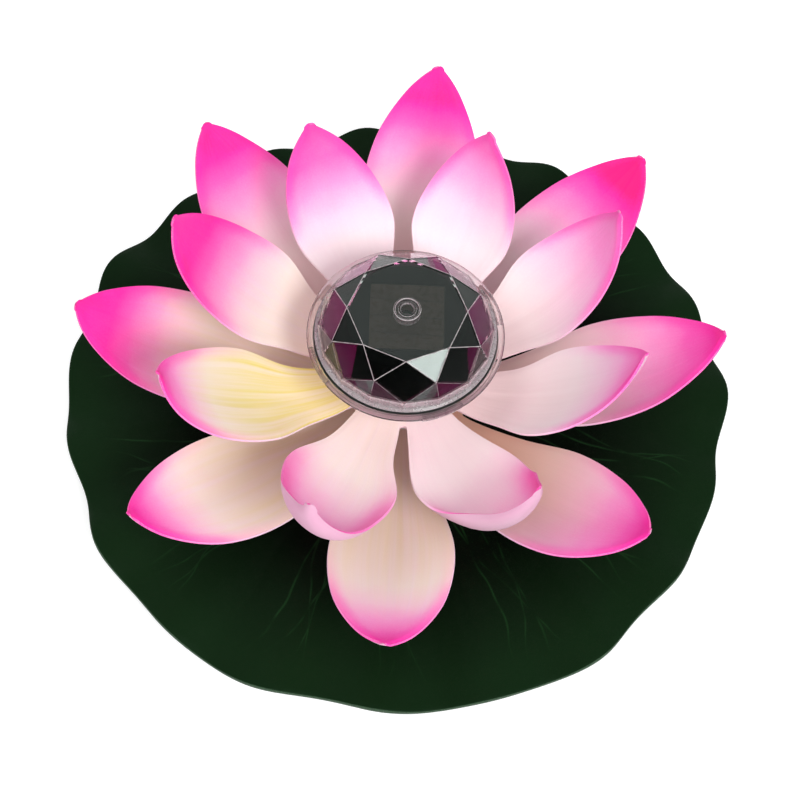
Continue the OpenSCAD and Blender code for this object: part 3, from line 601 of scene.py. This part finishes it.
class Shader:
    """A small helper round one node material."""

    def __init__(self, name, **inputs):
        self.material = bpy.data.materials.new(name)
        self.material.use_nodes = True
        self.tree = self.material.node_tree
        self.bsdf = self.tree.nodes["Principled BSDF"]
        for key, value in inputs.items():
            self.bsdf.inputs[key.replace("_", " ")].default_value = value
        self.last_bump = None

    def node(self, kind, **settings):
        made = self.tree.nodes.new(kind)
        for key, value in settings.items():
            setattr(made, key, value)
        return made

    def put(self, socket, value):
        if isinstance(value, bpy.types.NodeSocket):
            self.tree.links.new(value, socket)
        else:
            socket.default_value = value

    def calc(self, how, a, b=0.0, clamp=False):
        made = self.node("ShaderNodeMath", operation=how, use_clamp=clamp)
        self.put(made.inputs[0], a)
        self.put(made.inputs[1], b)
        return made.outputs[0]

    def attribute(self, name):
        return self.node("ShaderNodeAttribute", attribute_name=name).outputs["Fac"]

    def place(self, stretch=(1, 1, 1)):
        coords = self.node("ShaderNodeTexCoord")
        scale = self.node("ShaderNodeMapping")
        scale.inputs["Scale"].default_value = stretch
        self.put(scale.inputs["Vector"], coords.outputs["Object"])
        return scale.outputs[0]

    def noise(self, size_mm, detail=3.0, stretch=(1, 1, 1), vector=None):
        made = self.node("ShaderNodeTexNoise")
        made.inputs["Scale"].default_value = 1 / (size_mm * MM) if vector is None else 1 / size_mm
        made.inputs["Detail"].default_value = detail
        self.put(made.inputs["Vector"], self.place(stretch) if vector is None else vector)
        return made.outputs["Fac"]

    def cells(self, size_mm):
        made = self.node("ShaderNodeTexVoronoi")
        made.inputs["Scale"].default_value = 1 / (size_mm * MM)
        self.put(made.inputs["Vector"], self.place())
        return made.outputs["Distance"]

    def join(self, x, y, z=0.0):
        made = self.node("ShaderNodeCombineXYZ")
        for socket, value in zip(made.inputs, (x, y, z)):
            self.put(socket, value)
        return made.outputs[0]

    def spread(self, value, low, high, to_low=0.0, to_high=1.0):
        made = self.node("ShaderNodeMapRange")
        for socket, v in zip(made.inputs, (value, low, high, to_low, to_high)):
            self.put(socket, v)
        return made.outputs[0]

    def ramp(self, value, *stops):
        made = self.node("ShaderNodeValToRGB")
        band = made.color_ramp.elements
        while len(band) < len(stops):
            band.new(0.5)
        for element, (at, colour) in zip(band, stops):
            element.position = at
            element.color = colour
        self.put(made.inputs[0], value)
        return made.outputs[0]

    def mix(self, amount, a, b, how="MIX"):
        made = self.node("ShaderNodeMix", data_type="RGBA", blend_type=how)
        self.put(made.inputs[0], amount)
        self.put(made.inputs[6], a)
        self.put(made.inputs[7], b)
        return made.outputs[2]

    def colour(self, value):
        self.put(self.bsdf.inputs["Base Color"], value)

    def roughness(self, value):
        self.put(self.bsdf.inputs["Roughness"], value)

    def bump(self, height, depth_mm, strength=1.0):
        made = self.node("ShaderNodeBump")
        made.inputs["Strength"].default_value = strength
        made.inputs["Distance"].default_value = depth_mm * MM
        self.put(made.inputs["Height"], height)
        if self.last_bump is not None:
            self.put(made.inputs["Normal"], self.last_bump)
        self.last_bump = made.outputs[0]
        self.put(self.bsdf.inputs["Normal"], self.last_bump)


ROOT_CREAM = srgb(236, 232, 124)
# the beige of the root, partly the spray's colour and partly painted shade
ROOT_TAN_AND_SHADE = srgb(226, 190, 160)


def sprayed(s, blush, pale):
    """The spray's colours, from bare pale foam to the hot pink of a full coat."""
    return s.ramp(s.calc("MULTIPLY", blush, 0.9), (0.0, pale), (0.22, srgb(250, 206, 230)),
                  (0.45, srgb(253, 156, 214)), (0.70, srgb(252, 92, 186)), (0.88, srgb(252, 44, 166)),
                  (1.0, srgb(251, 25, 132)))


def petal_face(name):
    """Sprayed foam: hot pink at the tip and along the edges, cream towards the root, and a beige root that is
    partly the spray's own colour and partly painted shade under the inner petals.
    """
    s = Shader(name, IOR=1.45, Specular_IOR_Level=0.30, Sheen_Weight=0.04, Subsurface_Weight=0.06,
               Subsurface_Scale=0.4)
    s.bsdf.inputs["Subsurface Radius"].default_value = (0.004, 0.002, 0.002)
    along, across = s.attribute("along"), s.attribute("across")
    drift = s.calc("MULTIPLY", s.calc("SUBTRACT", s.noise(26, 3), 0.5), 0.24)
    mist = s.calc("MULTIPLY", s.calc("SUBTRACT", s.noise(0.8, 2), 0.5), 0.09)
    blush = s.calc("ADD", s.calc("ADD", s.attribute("blush"), drift), mist)
    pink = sprayed(s, blush, srgb(247, 229, 236))
    # faint streaks that fan out from the root, and the cream between them
    fan = s.join(s.calc("MULTIPLY", across, 9.0), s.calc("MULTIPLY", along, 1.6), s.attribute("tone"))
    streak = s.noise(1.0, 2, vector=fan)
    cream = s.calc("MULTIPLY", s.attribute("cream"), s.spread(streak, 0.3, 0.7, 1.15, 0.55), clamp=True)
    warm = s.mix(cream, pink, ROOT_CREAM, "MULTIPLY")
    # beige at the root: partly the spray's colour, partly painted shade under the inner petals
    warm = s.mix(s.attribute("root_tan_and_shade"), warm, ROOT_TAN_AND_SHADE, "MULTIPLY")
    shade = s.mix(s.spread(streak, 0.35, 0.75, 0.0, 0.12), warm, s.mix(0.30, warm, srgb(196, 130, 140)))
    s.colour(shade)
    s.roughness(s.spread(s.noise(6, 3), 0.3, 0.7, 0.52, 0.64))
    s.bump(streak, 0.30, 0.30)
    s.bump(s.noise(0.55, 2), 0.05, 0.5)
    return s.material


def petal_back(name):
    s = Shader(name, IOR=1.45, Specular_IOR_Level=0.30, Sheen_Weight=0.04)
    drift = s.calc("MULTIPLY", s.calc("SUBTRACT", s.noise(22, 3), 0.5), 0.30)
    blush = s.calc("SUBTRACT", s.calc("MULTIPLY", s.calc("ADD", s.attribute("blush"), drift), 0.50), 0.12)
    # the back takes a paler spray, and is mixed 60% with a dusky grey-pink: painted shade on the sheet's
    # underside
    s.colour(s.mix(0.6, sprayed(s, blush, srgb(222, 196, 206)), srgb(190, 142, 162)))
    s.roughness(s.spread(s.noise(6, 3), 0.3, 0.7, 0.54, 0.68))
    s.bump(s.noise(0.55, 2), 0.05, 0.5)
    return s.material


def petal_cut(name):
    """Knife-cut edge of a petal: open cells, pale, tinted by the spray near the tip."""
    s = Shader(name, Specular_IOR_Level=0.25)
    blush = s.calc("MULTIPLY", s.attribute("blush"), 0.95)
    cells = s.mix(s.spread(s.noise(0.5, 3), 0.35, 0.7, 0.0, 0.4), sprayed(s, blush, srgb(250, 228, 232)),
                  srgb(240, 186, 208))
    s.colour(cells)
    s.roughness(s.spread(s.noise(2, 2), 0.3, 0.7, 0.62, 0.8))
    s.bump(s.cells(0.4), 0.06, 0.5)
    return s.material


def cut_edge(name, colour, dark):
    """The open cells that a knife leaves on a foam edge."""
    s = Shader(name)
    s.colour(s.mix(s.spread(s.noise(0.5, 3), 0.35, 0.7), colour, dark))
    s.roughness(s.spread(s.noise(2, 2), 0.3, 0.7, 0.62, 0.8))
    s.bump(s.cells(0.4), 0.08, 0.5)
    return s.material


def leaf_veins(s):
    """Thin raised veins: pairs that run out from the middle, and slanting ones between them."""
    parts = s.node("ShaderNodeSeparateXYZ")
    s.put(parts.inputs[0], s.place((1000, 1000, 1000)))
    x, y = parts.outputs[0], parts.outputs[1]
    r = s.calc("SQRT", s.calc("ADD", s.calc("MULTIPLY", x, x), s.calc("MULTIPLY", y, y)))
    turn = s.calc("DIVIDE", s.calc("ARCTAN2", y, x), 2 * math.pi)
    wander = s.calc("MULTIPLY", s.calc("SUBTRACT", s.noise(60, 2), 0.5), 0.5)
    lines = None
    for shift, slant in ((0.0, 0.0), (0.13, 0.0012), (0.4, 0.006), (0.7, -0.006)):
        place = s.calc("ADD", s.calc("MULTIPLY", turn, VEINS), s.calc("ADD", wander, shift))
        place = s.calc("ADD", place, s.calc("MULTIPLY", r, slant))
        off = s.calc("ABSOLUTE", s.calc("SUBTRACT", s.calc("FRACT", place), 0.5))
        off = s.calc("MULTIPLY", s.calc("MULTIPLY", off, r), 2 * math.pi / VEINS)
        line = s.spread(off, 0.55, 0.15)
        lines = line if lines is None else s.calc("MAXIMUM", lines, line)
    patchy = s.spread(s.noise(17, 2), 0.40, 0.60)
    reach = s.attribute("reach")
    span = s.calc("MULTIPLY", s.spread(reach, 0.25, 0.40), s.spread(reach, 0.92, 0.80))
    return s.calc("MULTIPLY", s.calc("MULTIPLY", lines, patchy), span)


def leaf_face(name):
    """Dark green satin foam with fine grain and thin veins, darker towards the middle: painted shade under
    the petals, with a paler margin.
    """
    s = Shader(name, IOR=1.45, Specular_IOR_Level=0.10)
    blotch = s.spread(s.noise(24, 4), 0.3, 0.7)
    green = s.mix(blotch, srgb(2, 6, 2), srgb(4, 10, 4))
    grain = s.noise(0.45, 2)
    green = s.mix(s.spread(grain, 0.55, 0.75, 0.0, 0.5), green, srgb(22, 40, 22))
    # near black in the middle, greener towards the margin: painted shade under the petals
    outward = s.spread(s.attribute("reach"), 0.55, 0.92)
    green = s.mix(s.calc("MULTIPLY", outward, 0.8), green, srgb(13, 37, 14))
    veins = leaf_veins(s)
    green = s.mix(s.calc("MULTIPLY", veins, 0.42), green, srgb(30, 66, 32))
    s.colour(green)
    s.roughness(s.spread(s.noise(4, 3), 0.3, 0.7, 0.42, 0.56))
    fan = s.join(s.calc("MULTIPLY", s.attribute("turn"), 240.0),
                 s.calc("MULTIPLY", s.attribute("reach"), 5.0))
    s.bump(s.noise(1.0, 2, vector=fan), 0.20, 0.30)
    s.bump(veins, 0.20, 0.6)
    s.bump(grain, 0.14, 0.7)
    return s.material


def plastic(name, colour, shade, rough=(0.28, 0.42), grain_mm=0.4, grain_depth=0.02, **inputs):
    """Moulded plastic: slow mottling, fine spark grain and faint flow marks."""
    s = Shader(name, **inputs)
    flow = s.noise(18, 3, (1, 1, 0.35))
    s.colour(s.mix(s.spread(flow, 0.3, 0.75), colour, shade))
    s.roughness(s.spread(s.noise(3, 4), 0.3, 0.7, *rough))
    s.bump(s.noise(grain_mm, 2), grain_depth, 0.5)
    return s.material


def metal(name, colour, rough=(0.2, 0.38), brushed=(1, 1, 9)):
    s = Shader(name, Metallic=1.0)
    lines = s.noise(1.2, 4, brushed)
    s.colour(s.mix(s.spread(lines, 0.3, 0.7), colour, tuple(c * 0.72 for c in colour[:3]) + (1,)))
    s.roughness(s.spread(lines, 0.3, 0.7, *rough))
    s.bump(lines, 0.01, 0.5)
    return s.material


def clear(name, tint, rough=0.015, ior=1.49):
    """Polished clear moulding with a trace of surface unevenness."""
    s = Shader(name, IOR=ior)
    s.bsdf.inputs["Transmission Weight"].default_value = 1.0
    s.colour(s.mix(s.spread(s.noise(14, 2), 0.3, 0.7), tint, tuple(0.985 * c for c in tint[:3]) + (1,)))
    s.roughness(s.spread(s.noise(9, 3), 0.35, 0.75, rough * 0.4, rough * 1.6))
    return s.material


def ridge(name, clearness=0.55):
    """The fine edges between the facets: a pale, partly diffuse coat on clear plastic, a painted highlight
    for the glints where the light catches.
    """
    s = Shader(name, IOR=1.49, Specular_IOR_Level=0.6)
    s.bsdf.inputs["Transmission Weight"].default_value = clearness
    s.colour(s.mix(s.spread(s.noise(5, 3), 0.3, 0.7), srgb(226, 206, 212), srgb(244, 236, 238)))
    s.roughness(s.spread(s.noise(3, 3), 0.3, 0.7, 0.2, 0.36))
    return s.material


CELL_FINGER_PITCH = 1.55
CELL_STRIP_PITCH = 7.9


def solar_face(name):
    """Dark silicon under epoxy: fine printed fingers, cut strips, and a darker band round the edge, painted
    shade where the cell sits in its recess.
    """
    s = Shader(name, IOR=1.5, Specular_IOR_Level=0.2)
    parts = s.node("ShaderNodeSeparateXYZ")
    s.put(parts.inputs[0], s.place())
    x, y = parts.outputs[0], parts.outputs[1]
    finger = s.calc("FRACT", s.calc("DIVIDE", x, CELL_FINGER_PITCH * MM))
    finger = s.calc("ABSOLUTE", s.calc("SUBTRACT", finger, 0.5))
    strip = s.calc("FRACT", s.calc("ADD", s.calc("DIVIDE", y, CELL_STRIP_PITCH * MM), 0.5))
    strip = s.calc("ABSOLUTE", s.calc("SUBTRACT", strip, 0.5))
    silicon = s.mix(s.spread(s.noise(5, 4), 0.3, 0.7), srgb(66, 54, 44), srgb(76, 63, 52))
    lined = s.mix(s.spread(finger, 0.06, 0.02, 0.0, 0.16), silicon, srgb(92, 86, 76))
    lined = s.mix(s.spread(strip, 0.03, 0.015, 0.0, 0.55), lined, srgb(26, 24, 24))
    # a darker band round the edge of the cell: painted shade along the recess wall
    edge = s.calc("MAXIMUM", s.calc("ABSOLUTE", x), s.calc("ABSOLUTE", y))
    lined = s.mix(s.spread(edge, 15.2 * MM, 15.4 * MM, 0.0, 0.8), lined, srgb(14, 16, 16))
    s.colour(lined)
    s.roughness(s.spread(s.noise(2, 3), 0.3, 0.7, 0.22, 0.36))
    s.bump(finger, 0.02, 0.3)
    return s.material


def foam(name, colour, dark, bead_mm):
    s = Shader(name)
    bead = s.cells(bead_mm)
    s.colour(s.mix(s.spread(bead, 0.2, 0.8), colour, dark))
    s.roughness(s.spread(s.noise(2, 3), 0.3, 0.7, 0.65, 0.85))
    s.bump(bead, 0.35, 0.5)
    return s.material


WHITE, OFF_WHITE = srgb(226, 227, 226), srgb(214, 216, 214)
LOOKS = {
    "clear_lens": lambda n: clear(n, (0.985, 0.985, 0.985, 1)),
    "led_resin": lambda n: clear(n, (0.97, 0.97, 0.99, 1), 0.03, 1.5),
    "seal_rubber": lambda n: plastic(n, srgb(232, 222, 222), srgb(220, 210, 210), (0.4, 0.55), 0.7, 0.04),
    "black_plastic": lambda n: plastic(n, srgb(4, 6, 5), srgb(7, 10, 9), (0.5, 0.62), 2.5, 0.006,
                                       Specular_IOR_Level=0.10),
    "screw_steel": lambda n: metal(n, srgb(196, 198, 202)),
    "solar_glass": solar_face,
    "tinned_wire": lambda n: metal(n, srgb(206, 206, 204), (0.25, 0.4)),
    "board_laminate": lambda n: plastic(n, srgb(16, 92, 52), srgb(22, 116, 66), (0.2, 0.34), 1.4, 0.03),
    "ferrite": lambda n: plastic(n, srgb(40, 38, 36), srgb(56, 53, 50), (0.5, 0.7), 0.5, 0.03),
    "sleeve_plastic": lambda n: plastic(n, srgb(28, 42, 96), srgb(36, 54, 120), (0.2, 0.3)),
    "wire_red": lambda n: plastic(n, srgb(190, 24, 20), srgb(168, 20, 18), (0.3, 0.45)),
    "wire_black": lambda n: plastic(n, srgb(22, 22, 23), srgb(30, 30, 31), (0.3, 0.45)),
    "wire_yellow": lambda n: plastic(n, srgb(216, 186, 40), srgb(196, 168, 34), (0.3, 0.45)),
    "bowl_plastic": lambda n: plastic(n, srgb(226, 214, 210), srgb(216, 202, 198), (0.2, 0.34)),
    "white_plastic": lambda n: plastic(n, WHITE, OFF_WHITE),
    "battery_sleeve": lambda n: plastic(n, srgb(30, 120, 66), srgb(24, 102, 56), (0.2, 0.3)),
    "contact_brass": lambda n: metal(n, srgb(218, 184, 110)),
    "spring_steel": lambda n: metal(n, srgb(190, 192, 196), (0.18, 0.3)),
    "button_red": lambda n: plastic(n, srgb(168, 26, 30), srgb(148, 20, 26), (0.45, 0.6), 0.6, 0.04),
    "float_foam": lambda n: foam(n, srgb(240, 240, 238), srgb(214, 214, 212), 2.2),
}


def dress_cad_nodes():
    """Every CAD node keeps its shape and takes the procedural look of its material slot."""
    made = {}
    for part in frame["record"]["subparts"]:
        slot = part["material_slot"]
        if slot not in LOOKS:
            continue
        if slot not in made:
            made[slot] = LOOKS[slot](slot)
        mesh = frame["nodes"][part["node"]].data
        mesh.materials.clear()
        mesh.materials.append(made[slot])
    return made


# ------------------------------------------------------------------ build

looks = dress_cad_nodes()

petal_looks = (petal_face("petal_face"), petal_back("petal_back"), petal_cut("petal_cut_edge"))
outer = petal_layer("outer_petal_sheet", OUTER, petal_looks)
inner = petal_layer("inner_petal_sheet", INNER, petal_looks)
pad = lily_pad((leaf_face("pad_face"), leaf_face("pad_back"),
                cut_edge("pad_cut_edge", srgb(46, 74, 48), srgb(26, 50, 30))))
glass = lens(looks["clear_lens"], ridge("lens_ridge_highlights"), ridge("lens_wall", 0.62))

for piece, node, slot in ((outer, "outer_petals", "petal_foam_outer"),
                          (inner, "inner_petals", "petal_foam_inner"),
                          (pad, "lily_pad", "pad_foam"),
                          (glass, "lens_cover", "clear_lens")):
    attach(piece, "lamp")
    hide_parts(node)

# ------------------------------------------------------------------ stage, light, camera


FLOOR_HALF = 4.0
FLOOR_GLOW = 0.55


def floor():
    mesh = bpy.data.meshes.new("studio_floor")
    half = FLOOR_HALF
    corners = [(-half, -half, 0), (half, -half, 0), (half, half, 0), (-half, half, 0)]
    mesh.from_pydata(corners, [], [(0, 1, 2, 3)])
    obj = bpy.data.objects.new("studio_floor", mesh)
    bpy.context.scene.collection.objects.link(obj)
    s = Shader("floor_paper")
    s.colour(s.mix(s.noise(300, 2), (0.62, 0.62, 0.62, 1), (0.65, 0.65, 0.65, 1)))
    s.roughness(0.9)
    s.bsdf.inputs["Emission Color"].default_value = (1, 1, 1, 1)
    s.bsdf.inputs["Emission Strength"].default_value = FLOOR_GLOW
    # seen from below the floor is open, so the underside of the lamp can be looked at
    below = s.node("ShaderNodeNewGeometry").outputs["Backfacing"]
    s.put(s.bsdf.inputs["Alpha"], s.calc("SUBTRACT", 1.0, below))
    mesh.materials.append(s.material)


def softbox(name, azimuth, elevation, distance, size, watts):
    """Area light aimed at the lamp. The world stands in for it in shiny and clear surfaces."""
    light = bpy.data.lights.new(name, "AREA")
    light.shape = "RECTANGLE"
    light.size, light.size_y = size
    light.energy = watts
    obj = bpy.data.objects.new(name, light)
    a, e = math.radians(azimuth), math.radians(elevation)
    way = Vector((math.cos(e) * math.cos(a), math.cos(e) * math.sin(a), math.sin(e)))
    obj.location = way * distance + Vector((0, 0, 0.05))
    obj.rotation_euler = way.to_track_quat("Z", "Y").to_euler()
    obj.visible_glossy = False
    obj.visible_transmission = False
    bpy.context.scene.collection.objects.link(obj)
    return obj


KEY_AZIMUTH = -52
KEY_ELEVATION = 45
KEY_GLOW = 9.0
HORIZON_GLOW = 0.42
# name, azimuth, elevation, distance in metres, size in metres, watts
SOFTBOXES = (
    ("key", KEY_AZIMUTH, KEY_ELEVATION, 1.6, (0.75, 0.6), 9.5),
    ("front", -100, 55, 2.0, (1.2, 1.0), 6),
    ("top_left", 150, 62, 1.8, (1.4, 1.0), 6),
    ("left", -160, 50, 1.9, (1.2, 1.0), 4.5),
)
ROOM_LIGHT = 0.50
MIRROR_DARK = 0.015
MIRROR_BRIGHT = 0.58
MIRROR_TINT = (0.88, 1.0, 0.95, 1.0)


def surroundings():
    """Even soft room light; what shiny surfaces mirror is the key light, dark in front, bright behind."""
    world = bpy.data.worlds.new("studio")
    bpy.context.scene.world = world
    world.use_nodes = True
    tree = world.node_tree

    def math_node(how, a, b, c=None):
        made = tree.nodes.new("ShaderNodeMath")
        made.operation = how
        for socket, value in zip(made.inputs, (a, b, c)):
            if isinstance(value, bpy.types.NodeSocket):
                tree.links.new(value, socket)
            elif value is not None:
                socket.default_value = value
        return made.outputs[0]

    def fade(value, low, high, to_low, to_high):
        made = tree.nodes.new("ShaderNodeMapRange")
        made.interpolation_type = "SMOOTHSTEP"
        tree.links.new(value, made.inputs[0])
        for socket, v in zip(made.inputs[1:5], (low, high, to_low, to_high)):
            socket.default_value = v
        return made.outputs[0]

    coords = tree.nodes.new("ShaderNodeTexCoord").outputs["Generated"]
    parts = tree.nodes.new("ShaderNodeSeparateXYZ")
    tree.links.new(coords, parts.inputs[0])
    lean = math_node("MULTIPLY_ADD", parts.outputs[2], 0.2, parts.outputs[1])
    a, e = math.radians(KEY_AZIMUTH), math.radians(KEY_ELEVATION)
    towards = tree.nodes.new("ShaderNodeVectorMath")
    towards.operation = "DOT_PRODUCT"
    tree.links.new(coords, towards.inputs[0])
    towards.inputs[1].default_value = (math.cos(e) * math.cos(a), math.cos(e) * math.sin(a), math.sin(e))
    glow = fade(towards.outputs["Value"], math.cos(math.radians(14)), math.cos(math.radians(11)), 0, KEY_GLOW)
    horizon = fade(parts.outputs[2], 0.10, 0.28, HORIZON_GLOW, 0.0)
    walls = math_node("MAXIMUM", fade(lean, 0.0, 0.6, MIRROR_DARK, MIRROR_BRIGHT), horizon)
    mirrored = math_node("ADD", walls, glow)
    # the even light also stands behind the lamp where the camera looks past the floor
    path = tree.nodes.new("ShaderNodeLightPath")
    scattered = math_node("MAXIMUM", path.outputs["Diffuse Depth"], path.outputs["Is Camera Ray"])
    strength = tree.nodes.new("ShaderNodeMix")
    strength.clamp_factor = True
    tree.links.new(scattered, strength.inputs[0])
    tree.links.new(mirrored, strength.inputs[2])
    strength.inputs[3].default_value = ROOM_LIGHT
    tint = tree.nodes.new("ShaderNodeMix")
    tint.data_type = "RGBA"
    tint.clamp_factor = True
    tree.links.new(scattered, tint.inputs[0])
    tint.inputs[6].default_value = MIRROR_TINT
    tint.inputs[7].default_value = (1, 1, 1, 1)
    tree.links.new(strength.outputs[0], tree.nodes["Background"].inputs["Strength"])
    tree.links.new(tint.outputs[2], tree.nodes["Background"].inputs["Color"])


CAMERA_ELEVATION = 61.1
CAMERA_ROLL = 3.7
CAMERA_DISTANCE = 0.809
CAMERA_AIM = Vector((-0.6, -5.0, LEAF_Z)) * MM


def camera():
    e, roll = math.radians(CAMERA_ELEVATION), math.radians(CAMERA_ROLL)
    back = Vector((0, -math.cos(e), math.sin(e)))
    right, up = Vector((1, 0, 0)), Vector((0, math.sin(e), math.cos(e)))
    right, up = (right * math.cos(roll) + up * math.sin(roll),
                 up * math.cos(roll) - right * math.sin(roll))
    data = bpy.data.cameras.new("camera")
    data.lens = 85
    data.sensor_width = 36
    data.clip_start = 0.01
    obj = bpy.data.objects.new("camera", data)
    turn = Matrix((right, up, back)).transposed().to_4x4()
    obj.matrix_world = Matrix.Translation(CAMERA_AIM + back * CAMERA_DISTANCE) @ turn
    bpy.context.scene.collection.objects.link(obj)
    bpy.context.scene.camera = obj


floor()
surroundings()
for light in SOFTBOXES:
    softbox(*light)
camera()
bpy.context.scene.view_settings.view_transform = "Standard"
